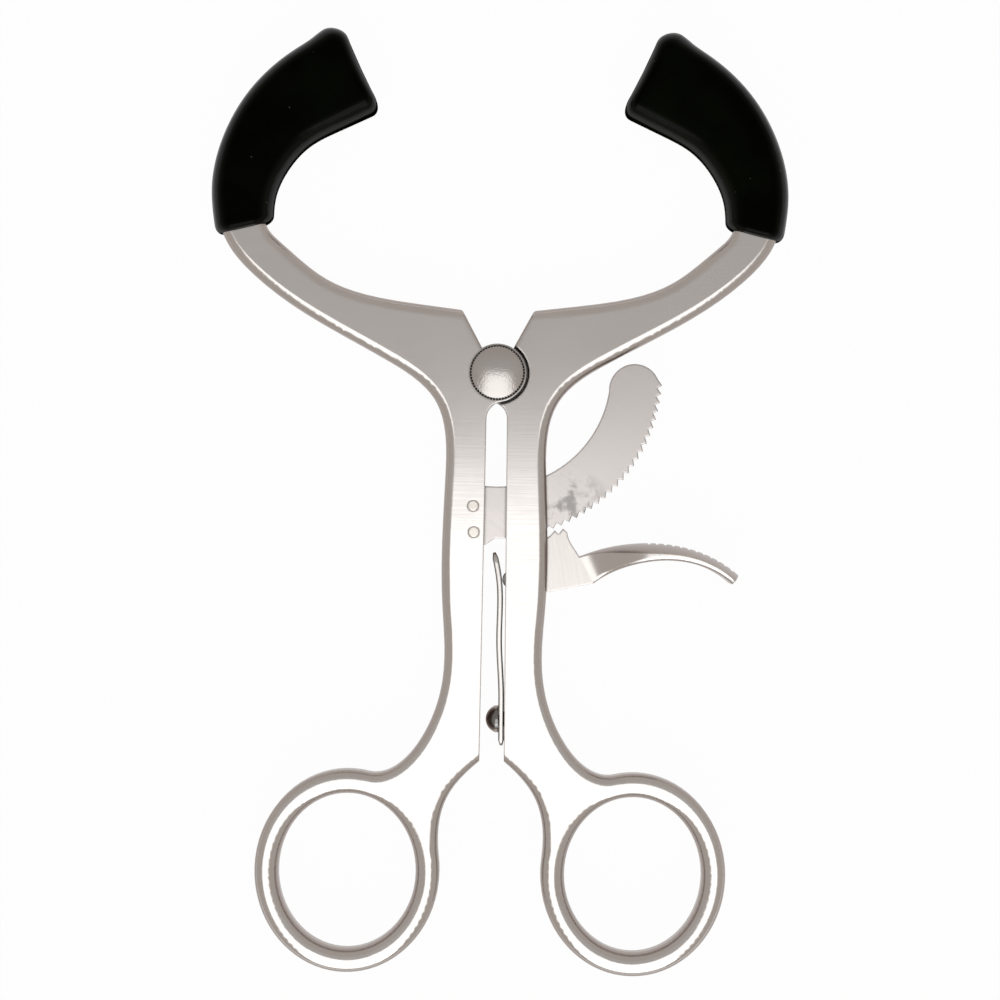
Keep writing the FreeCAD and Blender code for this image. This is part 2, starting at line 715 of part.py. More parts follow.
def make_pawl():
    body = new_body("pawl_lever")
    path = lever_path()
    neck, up, depth = lever_station(path, 0.0)
    knob = pawl_point(sheet.pawl_knob_x, sheet.pawl_knob_drop)
    teeth = pawl_teeth()
    nose_curve = spline([teeth[-1], pawl_point(sheet.nose_x, sheet.nose_drop),
                         pawl_point(sheet.throat_x, sheet.throat_drop), neck + up * (depth / 2)])
    straight = [neck + up * (depth / 2), neck - up * (depth / 2),
                pawl_point(sheet.plate_heel_x, sheet.plate_heel_drop),
                knob - Vector(0, sheet.pawl_knob_radius, 0), knob, Vector(0, 0, 0),
                polar(sheet.pawl_boss, sheet.pawl_boss_angle)] + teeth
    outline = [Part.LineSegment(a, b) for a, b in zip(straight, straight[1:])] + [nose_curve]
    sweep_up(body, "Pad", flat_sketch(body, "pawl_plate", outline), "Sizes.rack_thickness")
    boss = bound_circle(flat_sketch(body, "pawl_boss", []), 0, 0, "Sizes.pawl_boss")
    sweep_up(body, "Pad", boss, "Sizes.rack_thickness")
    tail = bound_circle(flat_sketch(body, "pawl_tail", []), knob.x, knob.y, "Sizes.pawl_knob_radius")
    sweep_up(body, "Pad", tail, "Sizes.rack_thickness")

    sketches = []
    for share in (0.0, 0.12, 0.26, 0.42, 0.62, 0.82, 1.0):
        point, up, thickness = lever_station(path, share)
        corner = sheet.pad_edge_round if share > 0 else sheet.pad_edge_round / 2
        crown = sheet.neck_crown + sheet.pad_crown_share * thickness * lever_flare(share)
        section = lever_profile(thickness, lever_width(share), crown, corner)
        angle = math.degrees(math.atan2(up.y, up.x))
        sketches.append(upright_sketch(body, "lever_section_%d" % len(sketches), point, angle, section))
    lever = body.newObject("PartDesign::AdditiveLoft", "lever")
    lever.Profile = sketches[0]
    lever.Sections = sketches[1:]
    doc.recompute()

    grip = flat_sketch(body, "pad_grooves", [])
    count = int(sheet.pad_groove_count)
    for number in range(count):
        share = sheet.pad_start + (sheet.pad_end - sheet.pad_start) * number / (count - 1)
        point, up, thickness = lever_station(path, share)
        centre = point + up * (thickness / 2 + sheet.pad_groove_radius - sheet.pad_groove_depth)
        bound_circle(grip, centre.x, centre.y, "Sizes.pad_groove_radius")
    cut(body, grip, "Sizes.pad_width + 1")

    bore = bound_circle(flat_sketch(body, "pawl_bore", []), 0, 0, "Sizes.pawl_pin_radius + Sizes.pawl_run_gap")
    cut(body, bore, "Sizes.rack_thickness + 1")
    return body


# Leaf spring on the right handle's inner face, bent over the pawl's knob, with its screw

def inner_face_point(drop):
    return Vector(inner_edge(drop), -drop, 0)


def inner_face_angle():
    """Direction of the handle's inner face, looking up from the ring to the pivot."""
    upward = inner_face_point(0) - inner_face_point(sheet.handle_end)
    return math.degrees(math.atan2(upward.y, upward.x))


def make_spring():
    body = new_body("pawl_spring")
    half = sheet.spring_thickness / 2
    angle = inner_face_angle()
    along = polar(1.0, angle)
    away = polar(half, angle + 90.0)
    foot = inner_face_point(sheet.spring_foot_drop) + away
    bend = inner_face_point(sheet.spring_bend_drop) + away
    touch_x = sheet.pawl_knob_x - sheet.pawl_knob_radius - sheet.spring_touch_gap - half
    tail = spline([bend, Vector(sheet.spring_belly_x, -sheet.spring_belly_drop, 0),
                   Vector(touch_x, -sheet.pawl_knob_drop, 0),
                   Vector(sheet.spring_end_x, -sheet.spring_end_drop, 0)],
                  along, polar(1.0, sheet.spring_end_angle))
    route = flat_sketch(body, "spring_route", [Part.LineSegment(foot, bend), tail])
    strip = closed_lines([Vector(half, sheet.spring_width / 2, 0), Vector(-half, sheet.spring_width / 2, 0),
                          Vector(-half, -sheet.spring_width / 2, 0), Vector(half, -sheet.spring_width / 2, 0)])
    section = upright_sketch(body, "spring_section", foot, angle - 90.0, strip)
    leaf = body.newObject("PartDesign::AdditivePipe", "leaf")
    leaf.Profile = section
    leaf.Spine = route
    doc.recompute()

    hole = upright_sketch(body, "spring_hole", inner_face_point(sheet.spring_screw_drop), angle, [])
    bound_circle(hole, 0, 0, "Sizes.spring_screw_radius + Sizes.screw_run_gap")
    cut(body, hole, "2 * Sizes.spring_thickness", "Symmetric")
    return body


def make_spring_screw():
    """Screw along its own X axis, which points into the handle from the handle's inner face."""
    body = new_body("spring_screw")
    shank = sheet.spring_screw_radius
    head = sheet.spring_screw_head
    seat = -sheet.spring_thickness
    edge = seat - sheet.spring_screw_rim
    top = edge - sheet.spring_screw_dome
    points = [Vector(top, 0, 0), Vector(sheet.spring_screw_length, 0, 0),
              Vector(sheet.spring_screw_length, shank, 0), Vector(seat, shank, 0),
              Vector(seat, head, 0), Vector(edge, head, 0)]
    profile = [Part.LineSegment(a, b) for a, b in zip(points, points[1:])]
    profile.append(dome(points[-1], sheet.spring_screw_dome, Vector(-1, 0, 0)))
    sketch = flat_sketch(body, "spring_screw_profile", profile)
    turned = body.newObject("PartDesign::Revolution", "spring_screw_turned")
    turned.Profile = sketch
    turned.ReferenceAxis = (sketch, ["H_Axis"])
    turned.Angle = 360.0
    doc.recompute()
    return body


# Rubber sleeves, dipped over the jaw ends

def sleeve_outline():
    """Plan of the sleeve: cuff, inner bend, flat tip and outer bend."""
    sections = [cuff_section()] + [hook_section(share, 0.0) for share in (0.15, 0.4, 0.7, 1.0)]
    sections.append(tip_section(0.0))
    inner = [foot - polar(width / 2, angle) for foot, angle, width, _ in sections]
    outer = [foot + polar(width / 2, angle) for foot, angle, width, _ in sections]
    return [spline(inner), Part.LineSegment(inner[-1], outer[-1]), spline(outer),
            Part.LineSegment(outer[0], inner[0])]


def flare_profile(side):
    """What is cut away over or under the sleeve so that its depth grows towards the tip."""
    low = sheet.sleeve_cuff_depth / 2
    growth = sheet.tip_depth / 2 - low
    length = sheet.flare_length
    run = length - sheet.sleeve_corner
    radius = (run ** 2 + growth ** 2) / (2 * growth)
    beyond = length / 2
    ends = [Vector(x, side * (low + radius - math.sqrt(radius ** 2 - (length + x) ** 2)), 0)
            for x in (-2 * length - beyond, beyond)]
    top = side * sheet.tip_depth
    corners = [ends[1], Vector(ends[1].x, top, 0), Vector(ends[0].x, top, 0), ends[0]]
    lines = [Part.LineSegment(a, b) for a, b in zip(corners, corners[1:])]
    return lines + [arc(ends[0], Vector(-length, side * low, 0), ends[1])]


def make_sleeve(label, arm):
    """Soft boot over one jaw end: the flared outer form less the jaw that fills it."""
    body = new_body(label + "_form")
    sweep_up(body, "Pad", flat_sketch(body, label + "_outline", sleeve_outline()), "1.5 * Sizes.tip_depth")
    tip = tip_section(0.0)[0]
    flare = upright_sketch(body, label + "_flare", tip, sheet.tip_angle + 90.0,
                           flare_profile(1) + flare_profile(-1))
    cut(body, flare, "8 * Sizes.tip_depth")

    def upright(edge):
        return edge.Curve.TypeId == "Part::GeomLine" and abs(edge.tangentAt(edge.FirstParameter).z) > 0.99

    def at_tip(edge):
        return upright(edge) and abs((edge.CenterOfMass - tip).dot(polar(1.0, sheet.tip_angle + 90.0))) < 1e-4

    def at_cuff(edge):
        foot, angle, _, _ = cuff_section()
        return upright(edge) and abs((edge.CenterOfMass - foot).dot(polar(1.0, angle - 90.0))) < 1e-4

    def rim(edge):
        box = edge.BoundBox
        return min(abs(box.ZMin), abs(box.ZMax)) > sheet.sleeve_cuff_depth / 4

    round_edges(body, label + "_tip_round", at_tip, "Sizes.sleeve_tip_round")
    round_edges(body, label + "_cuff_round", at_cuff, "Sizes.sleeve_lip_round")
    round_edges(body, label + "_rim_round", rim, "Sizes.sleeve_corner")
    body.Placement = arm.Placement
    boot = doc.addObject("Part::Cut", label)
    boot.Label = label
    boot.Base = body
    boot.Tool = arm
    doc.recompute()
    return boot


def make_pin(label, radius, length):
    pin = doc.addObject("Part::Cylinder", label)
    pin.Label = label
    pin.setExpression("Radius", radius)
    pin.setExpression("Height", length)
    return pin


def place(item, x, y, z, rotation=Rotation()):
    """Set an item down at a place given as expressions, with the pivot's point as their start."""
    item.Placement = Placement(Vector(0, 0, 0), rotation)
    item.setExpression("Placement.Base.x", x)
    item.setExpression("Placement.Base.y", "Sizes.pivot_forward" + y)
    item.setExpression("Placement.Base.z", "Sizes.tip_depth / 2" + z)
    return item


left_arm = place(make_left_arm(), "0", "", "", Rotation(Vector(0, 1, 0), 180))
right_arm = place(make_right_arm(), "0", "", "")
pivot_screw = place(make_pivot_screw(), "0", "", "")
ratchet_bar = place(make_rack(), "0", "", "")
upper_rivet = place(make_pin("upper_rack_rivet", "Sizes.rivet_radius", "Sizes.arm_thickness"),
                    "-Sizes.upper_rivet_x", " - Sizes.upper_rivet_drop", " - Sizes.arm_thickness / 2")
lower_rivet = place(make_pin("lower_rack_rivet", "Sizes.rivet_radius", "Sizes.arm_thickness"),
                    "-Sizes.lower_rivet_x", " - Sizes.lower_rivet_drop", " - Sizes.arm_thickness / 2")
pawl_pin = place(make_pin("pawl_pin", "Sizes.pawl_pin_radius", "Sizes.arm_thickness - Sizes.pawl_pin_cover"),
                 "Sizes.pawl_pin_x", " - Sizes.pawl_pin_drop", " - Sizes.arm_thickness / 2")
pawl_lever = place(make_pawl(), "Sizes.pawl_pin_x", " - Sizes.pawl_pin_drop", "")
pawl_spring = place(make_spring(), "0", "", "")
spring_screw = make_spring_screw()
spring_screw.Placement = Placement(
    inner_face_point(sheet.spring_screw_drop) + Vector(0, sheet.pivot_forward, sheet.tip_depth / 2),
    Rotation(Vector(0, 0, 1), inner_face_angle() - 90.0))
doc.recompute()
left_tip_sleeve = make_sleeve("left_tip_sleeve", left_arm)
right_tip_sleeve = make_sleeve("right_tip_sleeve", right_arm)

nodes = [left_arm, right_arm, pivot_screw, ratchet_bar, upper_rivet, lower_rivet, pawl_pin, pawl_lever,
         pawl_spring, spring_screw, left_tip_sleeve, right_tip_sleeve]
doc.recompute()
for item in doc.Objects:
    if "Invalid" in item.State or "Error" in item.State:
        raise RuntimeError("%s did not compute: %s" % (item.Name, item.State))
for node in nodes:
    if node.Shape.isNull() or not node.Shape.isValid() or len(node.Shape.Solids) != 1:
        raise RuntimeError("%s is not one valid solid" % node.Label)
os.makedirs("parts", exist_ok=True)
for node in nodes:
    node.Shape.exportStep("parts/%s.step" % node.Label)
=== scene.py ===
"""Looks, light and camera of the mouth gag: satin steel levers, ratchet, leaf spring and rubber boots.

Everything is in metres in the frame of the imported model: +Y runs from the finger rings to the jaw tips
and +Z faces the viewer. Places measured from the pivot are written in millimetres, for from_pivot().
"""

import logging
import math
from dataclasses import dataclass, field
from enum import Enum

import bmesh
import bpy
import numpy as np
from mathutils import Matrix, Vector


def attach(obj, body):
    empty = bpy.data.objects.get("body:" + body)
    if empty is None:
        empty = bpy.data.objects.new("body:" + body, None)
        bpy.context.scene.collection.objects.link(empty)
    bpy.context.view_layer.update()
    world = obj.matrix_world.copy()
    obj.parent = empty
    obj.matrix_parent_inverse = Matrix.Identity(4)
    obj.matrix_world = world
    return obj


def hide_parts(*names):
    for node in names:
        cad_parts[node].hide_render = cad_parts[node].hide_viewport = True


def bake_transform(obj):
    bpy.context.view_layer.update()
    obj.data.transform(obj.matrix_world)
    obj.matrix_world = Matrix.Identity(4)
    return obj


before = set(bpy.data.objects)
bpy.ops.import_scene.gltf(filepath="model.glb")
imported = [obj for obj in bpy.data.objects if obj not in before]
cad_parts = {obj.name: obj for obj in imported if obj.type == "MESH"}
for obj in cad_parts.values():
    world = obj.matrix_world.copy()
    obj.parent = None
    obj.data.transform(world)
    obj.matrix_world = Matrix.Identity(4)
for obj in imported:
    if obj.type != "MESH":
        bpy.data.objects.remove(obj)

LOG = logging.getLogger("mouth_gag")
MM = 0.001
PIVOT_FORWARD = 19.1
MIDDLE_HEIGHT = 5.0
LARGEST_CORNER = 0.98


class Side(Enum):
    """Which half of the instrument a paired piece belongs to, as the sign of its X."""

    LEFT = -1
    RIGHT = 1


class Body(str, Enum):
    """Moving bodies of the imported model."""

    LEFT_ARM = "left_arm"
    RIGHT_ARM = "right_arm"
    PAWL = "pawl"


class Slot(str, Enum):
    """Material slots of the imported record."""

    SPRING = "spring_steel"
    RUBBER = "sleeve_rubber"


def from_pivot(x: float, y: float, z: float = 0.0) -> Vector:
    """Place a point that is given in millimetres from the pivot's middle.

    Args:
        x: Distance to the right.
        y: Distance towards the jaw tips.
        z: Height over the middle of the arms.

    Returns:
        The point in metres in the model's frame.
    """
    return Vector((x, y + PIVOT_FORWARD, z + MIDDLE_HEIGHT)) * MM


def polar(radius: float, degrees: float) -> np.ndarray:
    """Offset in the plane of the instrument.

    Args:
        radius: Length of the offset in millimetres.
        degrees: Its direction, counted from +X.

    Returns:
        The offset as two numbers.
    """
    turn = math.radians(degrees)
    return np.array([math.cos(turn), math.sin(turn)]) * radius


def smooth_line(points: np.ndarray, shares: np.ndarray) -> np.ndarray:
    """Natural cubic curve through the points, read at shares of its length.

    Args:
        points: The points that the curve passes, one row each.
        shares: Where to read the curve, from 0 at its start to 1 at its end.

    Returns:
        One row for each share.
    """
    steps = np.linalg.norm(np.diff(points, axis=0), axis=1)
    knots = np.concatenate([[0.0], np.cumsum(steps)])
    count = len(points)
    matrix = np.eye(count)
    right = np.zeros_like(points)
    for n in range(1, count - 1):
        before, after = steps[n - 1], steps[n]
        matrix[n, n - 1 : n + 2] = before, 2 * (before + after), after
        right[n] = 6 * ((points[n + 1] - points[n]) / after - (points[n] - points[n - 1]) / before)
    bends = np.linalg.solve(matrix, right)
    places = np.asarray(shares) * knots[-1]
    spans = np.clip(np.searchsorted(knots, places, side="right") - 1, 0, count - 2)
    length = steps[spans][:, None]
    ahead = (places - knots[spans])[:, None]
    behind = length - ahead
    curve = (bends[spans] * behind**3 + bends[spans + 1] * ahead**3) / (6 * length)
    curve += (points[spans] / length - bends[spans] * length / 6) * behind
    curve += (points[spans + 1] / length - bends[spans + 1] * length / 6) * ahead
    return curve


def rounded_loop(
    half_width: float, half_depth: float, corner: float, on_corner: int, on_side: int
) -> np.ndarray:
    """Rectangle with round corners, as a ring of points.

    Args:
        half_width: Half of its size along its own X.
        half_depth: Half of its size along its own Y.
        corner: Radius of its corners.
        on_corner: Points on each corner.
        on_side: Points on each straight side.

    Returns:
        The ring, counter-clockwise, one row each.
    """
    corner = min(corner, LARGEST_CORNER * half_width, LARGEST_CORNER * half_depth)
    turns = np.linspace(0, math.pi / 2, on_corner)
    centres = [(1, 1), (-1, 1), (-1, -1), (1, -1)]
    ring: list[np.ndarray] = []
    for number, (sx, sy) in enumerate(centres):
        centre = np.array([sx * (half_width - corner), sy * (half_depth - corner)])
        angles = turns + number * math.pi / 2
        ring.extend(centre + corner * np.array([math.cos(a), math.sin(a)]) for a in angles)
        next_x, next_y = centres[(number + 1) % 4]
        next_centre = np.array([next_x * (half_width - corner), next_y * (half_depth - corner)])
        last = ring[-1]
        end = next_centre + (last - centre)
        ring.extend(last + (end - last) * n / (on_side + 1) for n in range(1, on_side + 1))
    return np.array(ring)


class Shape:
    """A mesh under construction."""

    def __init__(self, name: str) -> None:
        """Start an empty mesh with the piece's name."""
        self.name = name
        self.mesh = bmesh.new()

    def ring(self, points: list[Vector]) -> list[bmesh.types.BMVert]:
        """Add loose points and return them."""
        return [self.mesh.verts.new(point) for point in points]

    def bridge(self, first: list[bmesh.types.BMVert], second: list[bmesh.types.BMVert]) -> None:
        """Join two rings of as many points with four-sided faces.

        Args:
            first: One ring.
            second: The next ring, in the same order.
        """
        count = len(first)
        for n in range(count):
            after = (n + 1) % count
            self.mesh.faces.new((first[n], first[after], second[after], second[n]))

    def finish(self, levels: int) -> bpy.types.Object:
        """Turn the mesh into a smooth object in the scene.

        Args:
            levels: Levels of subdivision that are applied to it.

        Returns:
            The new object.
        """
        bmesh.ops.recalc_face_normals(self.mesh, faces=self.mesh.faces)
        data = bpy.data.meshes.new(self.name)
        self.mesh.to_mesh(data)
        self.mesh.free()
        piece = bpy.data.objects.new(self.name, data)
        bpy.context.scene.collection.objects.link(piece)
        for face in data.polygons:
            face.use_smooth = True
        if levels:
            modifier = piece.modifiers.new("smooth_skin", "SUBSURF")
            modifier.levels = levels
            modifier.render_levels = levels
        return piece


class Bench:
    """Short hand for wiring one node tree."""

    def __init__(self, tree: bpy.types.NodeTree) -> None:
        """Keep the tree that nodes are added to."""
        self.tree = tree

    def add(self, kind: str, settings: dict | None = None, **inputs: object) -> bpy.types.Node:
        """Add a node.

        Args:
            kind: The node's type name.
            settings: Attributes of the node itself.
            inputs: Values or output sockets by input name, with _ in place of a space.

        Returns:
            The new node.
        """
        node = self.tree.nodes.new(kind)
        for key, value in (settings or {}).items():
            setattr(node, key, value)
        for key, value in inputs.items():
            self.feed(node.inputs[key.replace("_", " ")], value)
        return node

    def feed(self, socket: bpy.types.NodeSocket, value: object) -> None:
        """Set a socket to a value, or link it to an output."""
        if isinstance(value, bpy.types.NodeSocket):
            self.tree.links.new(value, socket)
        else:
            socket.default_value = value

    def maths(self, operation: str, first: object, second: object = 0.0) -> bpy.types.NodeSocket:
        """Calculate with two numbers.

        Args:
            operation: The Math node's operation.
            first: Value or socket.
            second: Value or socket.

        Returns:
            The result's socket.
        """
        node = self.add("ShaderNodeMath", {"operation": operation})
        self.feed(node.inputs[0], first)
        self.feed(node.inputs[1], second)
        return node.outputs[0]

    def stretch(
        self, value: object, low: float, high: float, to_low: float, to_high: float
    ) -> bpy.types.NodeSocket:
        """Map a range of numbers onto another, smoothly and with clamped ends.

        Args:
            value: Number or socket.
            low: One end of its range; it may be the larger one.
            high: The other end.
            to_low: Result at the first end.
            to_high: Result at the second end.

        Returns:
            The result's socket.
        """
        node = self.add(
            "ShaderNodeMapRange", {"interpolation_type": "SMOOTHSTEP"},
            Value=value, From_Min=low, From_Max=high, To_Min=to_low, To_Max=to_high,
        )
        return node.outputs["Result"]

    def blend(self, share: object, first: object, second: object) -> bpy.types.NodeSocket:
        """Mix two numbers, with the share of the second one given."""
        node = self.add("ShaderNodeMix", {"data_type": "FLOAT"})
        self.feed(node.inputs[0], share)
        self.feed(node.inputs[2], first)
        self.feed(node.inputs[3], second)
        return node.outputs[0]

    def tint(self, share: object, first: object, second: object) -> bpy.types.NodeSocket:
        """Mix two colours.

        Args:
            share: How much of the second colour shows.
            first: Colour or socket.
            second: Colour or socket.

        Returns:
            The mixed colour's socket.
        """
        node = self.add("ShaderNodeMix", {"data_type": "RGBA"})
        self.feed(node.inputs[0], share)
        self.feed(node.inputs[6], first)
        self.feed(node.inputs[7], second)
        return node.outputs[2]


class Effect:
    """Node groups that several finishes share, each built once."""

    LINE_RANGE = (0.62, 1.38)
    CLOUD_RANGE = (0.32, 0.68)
    SMUDGE_EDGE = 0.16

    made: dict[str, bpy.types.NodeTree] = {}

    @classmethod
    def place(cls, bench: Bench, name: str, **inputs: object) -> bpy.types.Node:
        """Put a group into a material.

        Args:
            bench: The material's tree.
            name: Name of one of this class's building methods.
            inputs: Values or sockets for the group, with _ in place of a space.

        Returns:
            The group node.
        """
        if name not in cls.made:
            cls.made[name] = getattr(cls, name)()
        node = bench.add("ShaderNodeGroup", {"node_tree": cls.made[name]})
        for key, value in inputs.items():
            bench.feed(node.inputs[key.replace("_", " ")], value)
        return node

    @staticmethod
    def begin(
        name: str, inputs: dict[str, float], outputs: list[str]
    ) -> tuple[Bench, bpy.types.Node, bpy.types.Node]:
        """Make an empty group with a vector input, number inputs and number outputs.

        Args:
            name: The group's name.
            inputs: Names and defaults of its number inputs.
            outputs: Names of its outputs.

        Returns:
            The bench for its tree, its input node and its output node.
        """
        tree = bpy.data.node_groups.new(name, "ShaderNodeTree")
        tree.interface.new_socket("Place", in_out="INPUT", socket_type="NodeSocketVector")
        for key, value in inputs.items():
            socket = tree.interface.new_socket(key, in_out="INPUT", socket_type="NodeSocketFloat")
            socket.default_value = value
        for key in outputs:
            tree.interface.new_socket(key, in_out="OUTPUT", socket_type="NodeSocketFloat")
        bench = Bench(tree)
        return bench, bench.add("NodeGroupInput"), bench.add("NodeGroupOutput")

    @classmethod
    def brushed_lines(cls) -> bpy.types.NodeTree:
        """Fine parallel lines left by a brushing belt: Line is the pattern from 0 to 1."""
        bench, inside, out = cls.begin(
            "brushed_lines", {"Turn": 0.0, "Lines per Metre": 9000.0, "Run": 0.02}, ["Line"]
        )
        turned = bench.add(
            "ShaderNodeVectorRotate", {"rotation_type": "Z_AXIS"},
            Vector=inside.outputs["Place"], Angle=inside.outputs["Turn"],
        )
        apart = bench.add("ShaderNodeSeparateXYZ", Vector=turned.outputs[0])
        across = bench.maths("MULTIPLY", apart.outputs["Y"], inside.outputs["Lines per Metre"])
        rate = bench.maths("MULTIPLY", inside.outputs["Lines per Metre"], inside.outputs["Run"])
        along = bench.maths("MULTIPLY", apart.outputs["X"], rate)
        deep = bench.maths("MULTIPLY", apart.outputs["Z"], inside.outputs["Lines per Metre"])
        place = bench.add("ShaderNodeCombineXYZ", X=along, Y=across, Z=deep)
        coarse = bench.add("ShaderNodeTexNoise", None, Vector=place.outputs[0], Scale=0.4, Detail=2.0)
        fine = bench.add("ShaderNodeTexNoise", None, Vector=place.outputs[0], Scale=1.0, Detail=3.0)
        both = bench.maths("ADD", coarse.outputs["Fac"], fine.outputs["Fac"])
        bench.feed(out.inputs["Line"], bench.stretch(both, *cls.LINE_RANGE, 0.0, 1.0))
        return bench.tree

    @classmethod
    def rounding(cls) -> bpy.types.NodeTree:
        """Where the surface turns away from the flat faces: Rounding is 0 on a face and 1 on a side."""
        bench, inside, out = cls.begin("rounding", {"Starts": 0.80, "Full": 0.62}, ["Rounding"])
        apart = bench.add("ShaderNodeSeparateXYZ", Vector=inside.outputs["Place"])
        level = bench.maths("ABSOLUTE", apart.outputs["Z"])
        node = bench.add("ShaderNodeMapRange", {"interpolation_type": "SMOOTHSTEP"}, Value=level)
        bench.feed(node.inputs["From Min"], inside.outputs["Starts"])
        bench.feed(node.inputs["From Max"], inside.outputs["Full"])
        bench.feed(out.inputs["Rounding"], node.outputs["Result"])
        return bench.tree

    @classmethod
    def clouds(cls) -> bpy.types.NodeTree:
        """Soft uneven tone of a hand-finished surface: Cloud runs from 0 to 1."""
        bench, inside, out = cls.begin("clouds", {"Patches per Metre": 90.0}, ["Cloud"])
        noise = bench.add(
            "ShaderNodeTexNoise", None,
            Vector=inside.outputs["Place"], Scale=inside.outputs["Patches per Metre"],
            Detail=4.0, Roughness=0.55,
        )
        bench.feed(out.inputs["Cloud"], bench.stretch(noise.outputs["Fac"], *cls.CLOUD_RANGE, 0.0, 1.0))
        return bench.tree

    @classmethod
    def smudges(cls) -> bpy.types.NodeTree:
        """Grey rubbed marks: Smudge is 1 inside a mark and 0 on clean metal."""
        bench, inside, out = cls.begin(
            "smudges", {"Marks per Metre": 300.0, "Clean Share": 0.6}, ["Smudge"]
        )
        large = bench.add(
            "ShaderNodeTexNoise", None,
            Vector=inside.outputs["Place"], Scale=inside.outputs["Marks per Metre"],
            Detail=6.0, Roughness=0.65,
        )
        top = bench.maths("ADD", inside.outputs["Clean Share"], cls.SMUDGE_EDGE)
        node = bench.add(
            "ShaderNodeMapRange", {"interpolation_type": "SMOOTHSTEP"}, Value=large.outputs["Fac"]
        )
        bench.feed(node.inputs["From Min"], inside.outputs["Clean Share"])
        bench.feed(node.inputs["From Max"], top)
        bench.feed(out.inputs["Smudge"], node.outputs["Result"])
        return bench.tree

    @classmethod
    def specks(cls) -> bpy.types.NodeTree:
        """Single tiny grains: Speck is 1 on a grain."""
        bench, inside, out = cls.begin(
            "specks", {"Cells per Metre": 900.0, "Size": 0.09, "Share": 0.14}, ["Speck"]
        )
        cells = bench.add(
            "ShaderNodeTexVoronoi", None,
            Vector=inside.outputs["Place"], Scale=inside.outputs["Cells per Metre"], Randomness=1.0,
        )
        apart = bench.add("ShaderNodeSeparateColor", None, Color=cells.outputs["Color"])
        chosen = bench.maths("LESS_THAN", apart.outputs[0], inside.outputs["Share"])
        near = bench.maths("LESS_THAN", cells.outputs["Distance"], inside.outputs["Size"])
        bench.feed(out.inputs["Speck"], bench.maths("MULTIPLY", chosen, near))
        return bench.tree


def new_material(name: str) -> tuple[bpy.types.Material, Bench, bpy.types.Node]:
    """Make a material with only its Principled shader.

    Args:
        name: The material's name.

    Returns:
        The material, the bench for its tree and the shader node.
    """
    material = bpy.data.materials.new(name)
    material.use_nodes = True
    tree = material.node_tree
    return material, Bench(tree), tree.nodes["Principled BSDF"]


